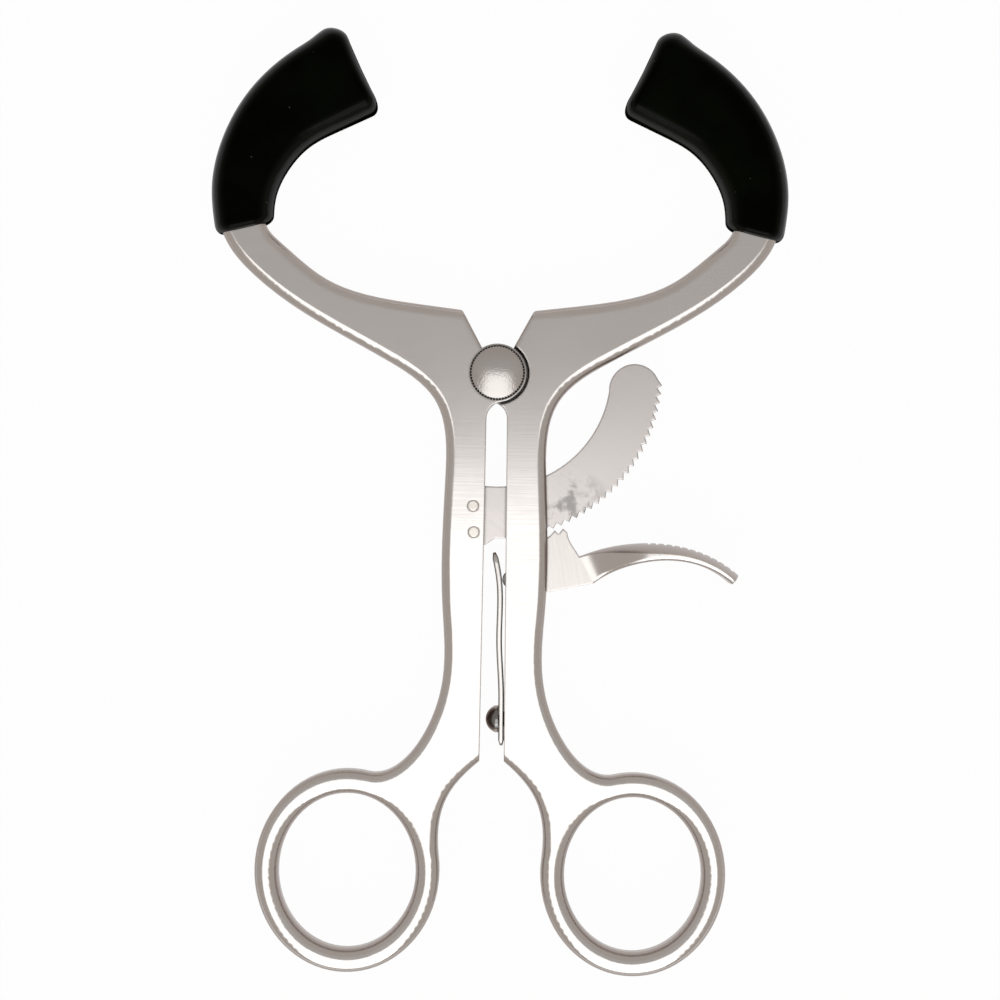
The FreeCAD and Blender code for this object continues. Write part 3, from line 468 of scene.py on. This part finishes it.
@dataclass(frozen=True)
class SteelFinish:
    """Satin stainless steel with brushed lines and a cloudy tone, with painted shade on its rounded sides and
    in its crevices.
    """

    name: str
    colour: tuple[float, float, float] = (0.76, 0.725, 0.70)
    shade: tuple[float, float, float] = (0.62, 0.585, 0.56)
    # Painted shade: a darker brownish colour for the rounded sides, standing in for the dark surroundings
    # they reflect.
    side_shade_colour: tuple[float, float, float] = (0.37, 0.315, 0.288)
    roughness: float = 0.10
    roughness_spread: float = 0.02
    side_roughness: float = 0.30
    line_turn: float = 0.0
    lines_per_metre: float = 9000.0
    line_tone: float = 0.30
    line_depth: float = 0.0000003
    cloud_tone: float = 0.22
    grain_depth: float = 0.0
    grains_per_metre: float = 4200.0
    # Painted shade in crevices: an occlusion mask darkens gaps and recesses towards this near-black colour.
    crevice_shade_reach: float = 0.0009
    crevice_shade_open: tuple[float, float] = (0.28, 0.76)
    crevice_shade_colour: tuple[float, float, float] = (0.004, 0.004, 0.004)
    smudge_roughness: float = 0.12
    soft_edge: float = 0.0003
    smudge_colour: tuple[float, float, float] = (0.30, 0.29, 0.28)
    smudge_amount: float = 0.0
    smudge_reach: tuple[float, float] = (0.003, 0.0075)
    clean_share: float = 0.62

    def material(self, smudge_middle: Vector = Vector((0.0, 0.0, 0.0))) -> bpy.types.Material:
        """Build the finish's material.

        Args:
            smudge_middle: Where the rubbed marks gather, in the piece's own frame.

        Returns:
            The material.
        """
        material, bench, shader = new_material(self.name)
        place = bench.add("ShaderNodeTexCoord").outputs["Object"]
        lines = Effect.place(
            bench, "brushed_lines", Place=place, Turn=math.radians(self.line_turn),
            Lines_per_Metre=self.lines_per_metre,
        ).outputs["Line"]
        cloud = Effect.place(bench, "clouds", Place=place).outputs["Cloud"]
        soft = bench.add("ShaderNodeBevel", {"samples": 6}, Radius=self.soft_edge).outputs["Normal"]
        side = Effect.place(bench, "rounding", Place=soft).outputs["Rounding"]
        tone = bench.maths("MULTIPLY", lines, self.line_tone)
        tone = bench.maths("ADD", tone, bench.maths("MULTIPLY", cloud, self.cloud_tone))
        colour = bench.tint(tone, (*self.colour, 1.0), (*self.shade, 1.0))
        # Painted shade: the rounded sides take the darker side colour in place of a reflection of dark
        # surroundings.
        colour = bench.tint(side, colour, (*self.side_shade_colour, 1.0))
        low, high = self.roughness - self.roughness_spread, self.roughness + self.roughness_spread
        rough = bench.stretch(bench.maths("ADD", lines, cloud), 0.0, 2.0, low, high)
        rough = bench.blend(side, rough, self.side_roughness)
        if self.smudge_amount:
            marks = Effect.place(bench, "smudges", Place=place, Clean_Share=self.clean_share)
            away = bench.add("ShaderNodeVectorMath", {"operation": "DISTANCE"})
            bench.feed(away.inputs[0], place)
            bench.feed(away.inputs[1], smudge_middle)
            near = bench.stretch(away.outputs["Value"], *self.smudge_reach, self.smudge_amount, 0.0)
            smudge = bench.maths("MULTIPLY", marks.outputs["Smudge"], near)
            colour = bench.tint(smudge, colour, (*self.smudge_colour, 1.0))
            rough = bench.maths("ADD", rough, bench.maths("MULTIPLY", smudge, self.smudge_roughness))
        # Painted shade: where little open air is near, as in gaps, recesses and round the screw head, the
        # colour goes to near black.
        open_air = bench.add("ShaderNodeAmbientOcclusion", {"samples": 8}, Distance=self.crevice_shade_reach)
        crevice_shade = bench.stretch(open_air.outputs["AO"], *self.crevice_shade_open, 1.0, 0.0)
        colour = bench.tint(crevice_shade, colour, (*self.crevice_shade_colour, 1.0))
        shader.inputs["Metallic"].default_value = 1.0
        bench.feed(shader.inputs["Base Color"], colour)
        bench.feed(shader.inputs["Roughness"], rough)
        if self.grain_depth:
            grains = bench.add(
                "ShaderNodeTexNoise", None, Vector=place, Scale=self.grains_per_metre, Detail=1.0
            )
            grain = bench.add("ShaderNodeBump", None, Strength=1.0, Distance=self.grain_depth,
                              Height=grains.outputs["Fac"], Normal=soft)
            soft = grain.outputs["Normal"]
        bump = bench.add(
            "ShaderNodeBump", None, Strength=1.0, Distance=self.line_depth, Height=lines, Normal=soft
        )
        bench.feed(shader.inputs["Normal"], bump.outputs["Normal"])
        return material


@dataclass(frozen=True)
class RubberFinish:
    """Glossy black rubber with green patches, partly its own tint and partly a painted greenish reflection,
    and a few light grains.
    """

    name: str = "glossy_black_rubber"
    colour: tuple[float, float, float] = (0.0005, 0.0004, 0.0006)
    green_tint_and_sheen: tuple[float, float, float] = (0.0022, 0.0030, 0.0012)
    grain_colour: tuple[float, float, float] = (0.05, 0.06, 0.045)
    roughness: float = 0.16
    roughness_range: tuple[float, float] = (-0.05, 0.08)
    face_gloss: float = 0.004
    rim_gloss: float = 0.13
    patches_per_metre: float = 60.0
    waves_per_metre: float = 420.0
    wave_depth: float = 0.00006

    def material(self) -> bpy.types.Material:
        """Build the finish's material."""
        material, bench, shader = new_material(self.name)
        place = bench.add("ShaderNodeTexCoord").outputs["Object"]
        cloud = Effect.place(
            bench, "clouds", Place=place, Patches_per_Metre=self.patches_per_metre
        ).outputs["Cloud"]
        grain = Effect.place(bench, "specks", Place=place).outputs["Speck"]
        # Green patches: partly the rubber's own tint, partly a painted greenish reflection.
        colour = bench.tint(cloud, (*self.colour, 1.0), (*self.green_tint_and_sheen, 1.0))
        colour = bench.tint(grain, colour, (*self.grain_colour, 1.0))
        smoother, rougher = self.roughness_range
        rough = bench.stretch(cloud, 0.0, 1.0, self.roughness + smoother, self.roughness + rougher)
        waves = bench.add(
            "ShaderNodeTexNoise", None, Vector=place, Scale=self.waves_per_metre, Detail=2.0
        )
        bump = bench.add(
            "ShaderNodeBump", None, Strength=1.0, Distance=self.wave_depth, Height=waves.outputs["Fac"]
        )
        facing = bench.add("ShaderNodeNewGeometry").outputs["Normal"]
        turned = Effect.place(bench, "rounding", Place=facing, Starts=0.97, Full=0.70)
        steep = Effect.place(bench, "rounding", Place=facing, Starts=0.50, Full=0.16)
        gloss = bench.blend(turned.outputs["Rounding"], self.face_gloss, self.rim_gloss)
        gloss = bench.blend(steep.outputs["Rounding"], gloss, 0.0)
        bench.feed(shader.inputs["Specular IOR Level"], gloss)
        bench.feed(shader.inputs["Base Color"], colour)
        bench.feed(shader.inputs["Roughness"], rough)
        bench.feed(shader.inputs["Normal"], bump.outputs["Normal"])
        return material


ARM_STEEL = SteelFinish("satin_arm_steel")
RIVET_STEEL = SteelFinish("rivet_steel", colour=(0.74, 0.70, 0.65), shade=(0.66, 0.61, 0.56), roughness=0.16)
RATCHET_STEEL = SteelFinish(
    "ground_ratchet_steel", colour=(0.66, 0.62, 0.60), shade=(0.57, 0.535, 0.515), roughness=0.17,
    line_turn=38.0, line_tone=0.12, smudge_amount=0.8, clean_share=0.46,
)
LEVER_STEEL = SteelFinish(
    "satin_lever_steel", colour=(0.76, 0.72, 0.69), roughness=0.20, line_turn=80.0, line_tone=0.12
)
# The screw's side colour is painted shade on the rim of its dome.
SCREW_STEEL = SteelFinish(
    "turned_screw_steel", colour=(0.62, 0.585, 0.56), shade=(0.52, 0.49, 0.47), roughness=0.19,
    side_shade_colour=(0.50, 0.46, 0.43), line_tone=0.10, lines_per_metre=14000.0, grain_depth=0.000022,
)
SPRING_STEEL = SteelFinish("polished_spring_steel", colour=(0.72, 0.70, 0.68), roughness=0.16, line_turn=90.0)
DARK_STEEL = SteelFinish(
    "dark_screw_steel", colour=(0.30, 0.295, 0.29), shade=(0.16, 0.155, 0.15), roughness=0.14, line_tone=0.2
)
RUBBER = RubberFinish()


def dress(node: str, finish: bpy.types.Material) -> None:
    """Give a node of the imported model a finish.

    Args:
        node: The node's name.
        finish: The material for all its slots.
    """
    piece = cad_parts[node]
    if not piece.material_slots:
        piece.data.materials.append(finish)
    for slot in piece.material_slots:
        slot.material = finish
    LOG.info("%s: %s", node, finish.name)


@dataclass
class Levers:
    """The two forged arms, the screw they turn on and the rivets in the left one."""

    arms: tuple[str, ...] = ("left_arm", "right_arm")
    rivets: tuple[str, ...] = ("upper_rack_rivet", "lower_rack_rivet")

    def build(self) -> None:
        """Dress the arms, the pivot screw and the rivets."""
        steel = ARM_STEEL.material()
        for node in self.arms:
            dress(node, steel)
        rivet = RIVET_STEEL.material()
        for node in self.rivets:
            dress(node, rivet)
        dress("pivot_screw", SCREW_STEEL.material())


@dataclass
class Ratchet:
    """The toothed bar, the pawl lever and its pin."""

    worn_place: tuple[float, float] = (11.2, -20.6)

    def build(self) -> None:
        """Dress the bar, worn at its lowest teeth, the lever and the pin."""
        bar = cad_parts["ratchet_bar"]
        worn = bar.matrix_world.inverted() @ from_pivot(*self.worn_place)
        dress("ratchet_bar", RATCHET_STEEL.material(worn))
        lever = LEVER_STEEL.material()
        dress("pawl_lever", lever)
        dress("pawl_pin", lever)


@dataclass
class LeafSpring:
    """Flat spring from its screw on the right handle up to the pawl's knob, in millimetres from the pivot."""

    thickness: float = 0.85
    width: float = 3.6
    edge: float = 0.22
    route: tuple[tuple[float, float], ...] = (
        (1.36, -54.9), (1.33, -52.3), (1.30, -49.6), (1.27, -47.0),
        (0.85, -39.5), (0.72, -30.45), (-0.05, -26.5),
    )
    stations: int = 36
    bend_start: tuple[float, float] = (1.27, -47.0)
    bend_end: tuple[float, float] = (0.72, -30.45)

    def build(self) -> bpy.types.Object:
        """Build the strip and put it in the CAD spring's place.

        Returns:
            The spring.
        """
        shape = Shape("leaf_spring")
        shares = np.linspace(0.0, 1.0, self.stations)
        line = smooth_line(np.array(self.route), shares)
        ahead = np.gradient(line, axis=0)
        ahead /= np.linalg.norm(ahead, axis=1)[:, None]
        rings = []
        last = self.stations - 1
        for number, (point, forward) in enumerate(zip(line, ahead)):
            inset = self.edge if number in (0, last) else 0.0
            loop = rounded_loop(self.thickness / 2 - inset, self.width / 2 - inset, self.edge, 4, 2)
            side = np.array([forward[1], -forward[0]])
            rings.append(shape.ring([from_pivot(*(point + side * x), y) for x, y in loop]))
        for first, second in zip(rings, rings[1:]):
            shape.bridge(first, second)
        for ring in (rings[0], rings[-1]):
            shape.mesh.faces.new(ring)
        spring = shape.finish(0)
        spring.data.materials.append(SPRING_STEEL.material())
        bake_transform(spring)
        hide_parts("pawl_spring")
        dress("spring_screw", DARK_STEEL.material())
        LOG.info("%s: %d faces", spring.name, len(spring.data.polygons))
        return spring


@dataclass
class Station:
    """One cross-section of a boot: the middle of it, the direction of its width, and its half sizes."""

    middle: np.ndarray
    across: np.ndarray
    half_width: float
    half_depth: float


@dataclass
class RubberBoot:
    """Rubber boot over one jaw end, in millimetres from the pivot and drawn for the right side."""

    side: Side
    hook_centre: tuple[float, float] = (18.0, 23.0)
    hook_turn: float = 64.0
    hook_inner: tuple[float, float] = (15.6, 13.9)
    hook_outer: tuple[float, float] = (24.55, 27.5)
    hook_shares: tuple[float, ...] = (0.15, 0.4, 0.7, 1.0)
    cuff: tuple[float, float] = (37.65, 20.7)
    cuff_turn: float = -14.0
    cuff_width: float = 8.7
    cuff_depth: float = 7.4
    tip: tuple[float, float] = (20.5, 44.9)
    tip_turn: float = 64.5
    tip_width: float = 13.8
    tip_depth: float = 10.0
    flare: float = 29.0
    corner: float = 3.2
    wall: float = 1.25
    rings: int = 40
    cuff_round: float = 1.25
    tip_round: float = 2.2
    tip_hollow: float = 0.45
    hollow_reach: float = 1.8
    bump_height: float = 0.75
    bump_back: float = 2.3
    bump_reach: float = 1.6
    bump_front_share: float = 0.4
    bump_middle_share: float = 0.9
    round_steps: int = 8
    ring_gap: float = 0.4
    end_inset: float = 0.9
    smallest_corner: float = 0.35
    lining_start: float = 1.2
    body: Body = field(init=False)

    def __post_init__(self) -> None:
        """Find the body that the boot rides on."""
        self.body = Body.LEFT_ARM if self.side is Side.LEFT else Body.RIGHT_ARM

    def edges(self) -> tuple[np.ndarray, np.ndarray]:
        """Inner and outer edge points of the boot at its main cross-sections."""
        inner = [np.array(self.cuff) - polar(self.cuff_width / 2, self.cuff_turn)]
        outer = [np.array(self.cuff) + polar(self.cuff_width / 2, self.cuff_turn)]
        for share in self.hook_shares:
            direction = polar(1.0, self.hook_turn * share)
            near = self.hook_inner[0] + (self.hook_inner[1] - self.hook_inner[0]) * share
            far = self.hook_outer[0] + (self.hook_outer[1] - self.hook_outer[0]) * share
            inner.append(np.array(self.hook_centre) + direction * near)
            outer.append(np.array(self.hook_centre) + direction * far)
        inner.append(np.array(self.tip) - polar(self.tip_width / 2, self.tip_turn))
        outer.append(np.array(self.tip) + polar(self.tip_width / 2, self.tip_turn))
        return np.array(inner), np.array(outer)

    def half_depth(self, middle: np.ndarray) -> float:
        """Half of the boot's depth at a place, growing along an arc towards the tip."""
        back = float(np.dot(middle - np.array(self.tip), polar(1.0, self.tip_turn + 90.0)))
        growth = (self.tip_depth - self.cuff_depth) / 2
        radius = (self.flare**2 + growth**2) / (2 * growth)
        reach = max(self.flare + back, 0.0)
        return self.cuff_depth / 2 + radius - math.sqrt(radius**2 - reach**2)

    def station(self, share: float) -> Station:
        """Cross-section at a share of the boot's length, from the cuff to the tip."""
        inner, outer = self.edges()
        near = smooth_line(inner, np.array([share]))[0]
        far = smooth_line(outer, np.array([share]))[0]
        middle = (near + far) / 2
        width = float(np.linalg.norm(far - near))
        return Station(middle, (far - near) / width, width / 2, self.half_depth(middle))

    def bulge(self, back: float, x: float, z: float, station: Station) -> float:
        """Outward offset of the holding lip on the outer, rear side near the tip.

        Args:
            back: Distance from the tip's face.
            x: Place across the section, positive on the outer side.
            z: Height over the middle.
            station: The section.

        Returns:
            The offset in millimetres.
        """
        hump = math.exp(-(((back - self.bump_back) / self.bump_reach) ** 2))
        outer = max(x / station.half_width, 0.0) ** 4
        rear = self.bump_middle_share - 0.5 * z / station.half_depth
        rear = min(max(rear, self.bump_front_share), 1.0)
        return self.bump_height * hump * outer * rear

    def hollow(self, back: float, x: float, station: Station) -> float:
        """How far the end face sinks in between its two rounded corners.

        Args:
            back: Distance from the tip's face.
            x: Place across the section.
            station: The section.

        Returns:
            The depth in millimetres.
        """
        fade = math.exp(-((back / self.hollow_reach) ** 2))
        return self.tip_hollow * fade * (1 - (x / station.half_width) ** 2)

    def quarter(self, radius: float) -> list[tuple[float, float]]:
        """Quarter round from an end face to the side.

        Args:
            radius: Its radius.

        Returns:
            Distances from the end, each with its offset from the boot's own section.
        """
        turns = np.radians(np.linspace(90.0, 0.0, self.round_steps))
        return [(radius * (1 - math.sin(a)), -radius * (1 - math.cos(a))) for a in turns]

    def loop(self, share: float, offset: float, back: float) -> list[Vector]:
        """One ring of points round the boot.

        Args:
            share: Share of the length from the cuff to the tip.
            offset: How far the ring stands outside the boot's own section.
            back: Distance from the tip's face, for the holding lip.

        Returns:
            The points in the model's frame.
        """
        station = self.station(share)
        corner = max(self.corner + offset, self.smallest_corner)
        ring = rounded_loop(station.half_width + offset, station.half_depth + offset, corner, 5, 3)
        ahead = np.array([-station.across[1], station.across[0]])
        points = []
        for x, z in ring:
            x = x + self.bulge(back, x, z, station)
            flat = station.middle + station.across * x - ahead * self.hollow(back, x, station)
            points.append(from_pivot(self.side.value * flat[0], flat[1], z))
        return points

    def build(self, finish: bpy.types.Material) -> bpy.types.Object:
        """Build the boot with its rounded cuff, holding lip and hollow end.

        Args:
            finish: The rubber.

        Returns:
            The boot, riding on its arm.
        """
        inner, outer = self.edges()
        middle = (inner + outer) / 2
        length = float(np.sum(np.linalg.norm(np.diff(middle, axis=0), axis=1)))
        shape = Shape(f"{self.body.value}_rubber_boot")
        start = (self.cuff_round + self.ring_gap) / length
        stop = 1.0 - (self.tip_round + self.ring_gap) / length
        plan = [(s / length, offset) for s, offset in reversed(self.inner_wall(length))]
        plan += [(s / length, offset) for s, offset in self.quarter(self.cuff_round)]
        plan += [(share, 0.0) for share in np.linspace(start, stop, self.rings)]
        plan += [(1.0 - s / length, offset) for s, offset in reversed(self.quarter(self.tip_round))]
        plan.append((1.0, -self.tip_round - self.end_inset))
        rings = [shape.ring(self.loop(share, offset, (1.0 - share) * length)) for share, offset in plan]
        for first, second in zip(rings, rings[1:]):
            shape.bridge(first, second)
        shape.mesh.faces.new(rings[0])
        shape.mesh.faces.new(rings[-1])
        boot = shape.finish(1)
        boot.data.materials.append(finish)
        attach(boot, self.body.value)
        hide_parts(f"{self.side.name.lower()}_tip_sleeve")
        LOG.info("%s: %d faces before smoothing", boot.name, len(boot.data.polygons))
        return boot

    def inner_wall(self, length: float) -> list[tuple[float, float]]:
        """Rings of the boot's lining, which lies on the jaw inside, from the cuff to the tip."""
        places = np.linspace(self.lining_start, length - 2 * self.wall, self.rings // 3)
        return [(s, -self.wall) for s in places]


@dataclass
class Studio:
    """White table in a grey room, with a long light in front, a dim card overhead and the camera above.

    The places of light and card are slopes seen from the object: sideways or forward distance over height.
    """

    frame_width: float = 0.148
    camera_height: float = 0.425
    camera_centre: tuple[float, float] = (0.00067, 0.00038)
    camera_roll: float = 0.87
    sensor: float = 36.0
    floor_size: float = 4.0
    floor_drop: float = 0.00005
    floor_glow: float = 0.97
    room: tuple[float, float, float] = (0.46, 0.425, 0.40)
    card: tuple[float, float, float] = (0.50, 0.488, 0.478)
    card_edge: tuple[float, float] = (0.002, 0.023)
    card_half_width: tuple[float, float] = (0.55, 0.85)
    card_reach: tuple[float, float] = (0.30, 0.60)
    light: tuple[float, float, float] = (1.6, 1.6, 1.6)
    light_half_width: tuple[float, float] = (0.22, 0.40)
    light_spread: float = 0.30
    light_reach: tuple[float, float] = (2.6, 4.0)
    glare: tuple[float, float, float] = (4.5, 4.6, 4.8)
    glare_place: tuple[float, float] = (1.15, 0.25)
    lowest_height: float = 0.02
    table_colour: tuple[float, float, float] = (0.8, 0.8, 0.8)
    clip_range: tuple[float, float] = (0.01, 20.0)

    def build(self) -> None:
        """Make the floor, the room's light and the camera."""
        self.floor()
        self.surroundings()
        self.camera()
        bpy.context.scene.view_settings.view_transform = "Standard"

    def floor(self) -> bpy.types.Object:
        """White table top that keeps a soft shadow."""
        half = self.floor_size / 2
        data = bpy.data.meshes.new("table_top")
        corners = [(-half, -half, 0), (half, -half, 0), (half, half, 0), (-half, half, 0)]
        data.from_pydata(corners, [], [(0, 1, 2, 3)])
        table = bpy.data.objects.new("table_top", data)
        table.location = (0.0, 0.0, -self.floor_drop)
        bpy.context.scene.collection.objects.link(table)
        material = bpy.data.materials.new("white_table")
        material.use_nodes = True
        bench = Bench(material.node_tree)
        bench.tree.nodes.clear()
        path = bench.add("ShaderNodeLightPath")
        seen = bench.maths("MAXIMUM", path.outputs["Is Camera Ray"], path.outputs["Is Transmission Ray"])
        seen = bench.maths("MAXIMUM", seen, path.outputs["Is Glossy Ray"])
        matt = bench.add("ShaderNodeBsdfDiffuse", None, Color=(*self.table_colour, 1.0))
        glow = bench.add("ShaderNodeEmission", None, Color=(1.0, 1.0, 1.0, 1.0), Strength=1.0)
        mix = bench.add("ShaderNodeMixShader")
        bench.feed(mix.inputs[0], bench.maths("MULTIPLY", seen, self.floor_glow))
        bench.feed(mix.inputs[1], matt.outputs[0])
        bench.feed(mix.inputs[2], glow.outputs[0])
        out = bench.add("ShaderNodeOutputMaterial")
        bench.feed(out.inputs["Surface"], mix.outputs[0])
        data.materials.append(material)
        return table

    def surroundings(self) -> None:
        """Grey room, dim card over the jaws, long light over the handles and a low glare in front."""
        world = bpy.data.worlds.new("studio_room")
        world.use_nodes = True
        bpy.context.scene.world = world
        bench = Bench(world.node_tree)
        bench.tree.nodes.clear()
        direction = bench.add("ShaderNodeTexCoord").outputs["Generated"]
        apart = bench.add("ShaderNodeSeparateXYZ", Vector=direction)
        height = bench.maths("MAXIMUM", apart.outputs["Z"], self.lowest_height)
        sideways = bench.maths("ABSOLUTE", bench.maths("DIVIDE", apart.outputs["X"], height))
        forward = bench.maths("DIVIDE", apart.outputs["Y"], height)
        back = bench.maths("MULTIPLY", forward, -1.0)

        over = bench.stretch(forward, *self.card_edge, 0.0, 1.0)
        under_card = bench.stretch(sideways, *self.card_half_width, 1.0, 0.0)
        card = bench.maths("MULTIPLY", over, under_card)
        card = bench.maths("MULTIPLY", card, bench.stretch(forward, *self.card_reach, 1.0, 0.0))

        spread = bench.maths("MULTIPLY", bench.maths("MAXIMUM", back, 0.0), self.light_spread)
        aside = bench.maths("SUBTRACT", sideways, spread)
        beside = bench.stretch(aside, *self.light_half_width, 1.0, 0.0)
        front = bench.maths("MULTIPLY", bench.maths("SUBTRACT", 1.0, over), beside)
        front = bench.maths("MULTIPLY", front, bench.stretch(back, *self.light_reach, 1.0, 0.0))
        near, wide = self.glare_place
        rise = bench.stretch(back, near - wide, near, 0.0, 1.0)
        glare = bench.maths("MULTIPLY", rise, bench.stretch(back, near, near + wide, 1.0, 0.0))
        glare = bench.maths("MULTIPLY", glare, front)

        colour = bench.tint(card, (*self.room, 1.0), (*self.card, 1.0))
        colour = bench.tint(front, colour, (*self.light, 1.0))
        colour = bench.tint(glare, colour, (*self.glare, 1.0))
        glow = bench.add("ShaderNodeBackground", None, Color=colour, Strength=1.0)
        out = bench.add("ShaderNodeOutputWorld")
        bench.feed(out.inputs["Surface"], glow.outputs[0])

    def camera(self) -> None:
        """Look straight down from the photograph's distance, with its small roll."""
        data = bpy.data.cameras.new("overhead_camera")
        data.sensor_width = self.sensor
        data.lens = self.sensor * self.camera_height / self.frame_width
        data.clip_start, data.clip_end = self.clip_range
        camera = bpy.data.objects.new("overhead_camera", data)
        camera.location = (*self.camera_centre, MIDDLE_HEIGHT * MM + self.camera_height)
        camera.rotation_euler = (0.0, 0.0, math.radians(self.camera_roll))
        bpy.context.scene.collection.objects.link(camera)
        bpy.context.scene.camera = camera


def main() -> None:
    """Dress the instrument, build its rubber boots and leaf spring, and set up the studio."""
    logging.basicConfig(level=logging.INFO, format="%(message)s")
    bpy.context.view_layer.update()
    Studio().build()
    Levers().build()
    Ratchet().build()
    LeafSpring().build()
    rubber = RUBBER.material()
    for side in Side:
        RubberBoot(side).build(rubber)
    bpy.context.view_layer.update()


if __name__ == "__main__":
    main()
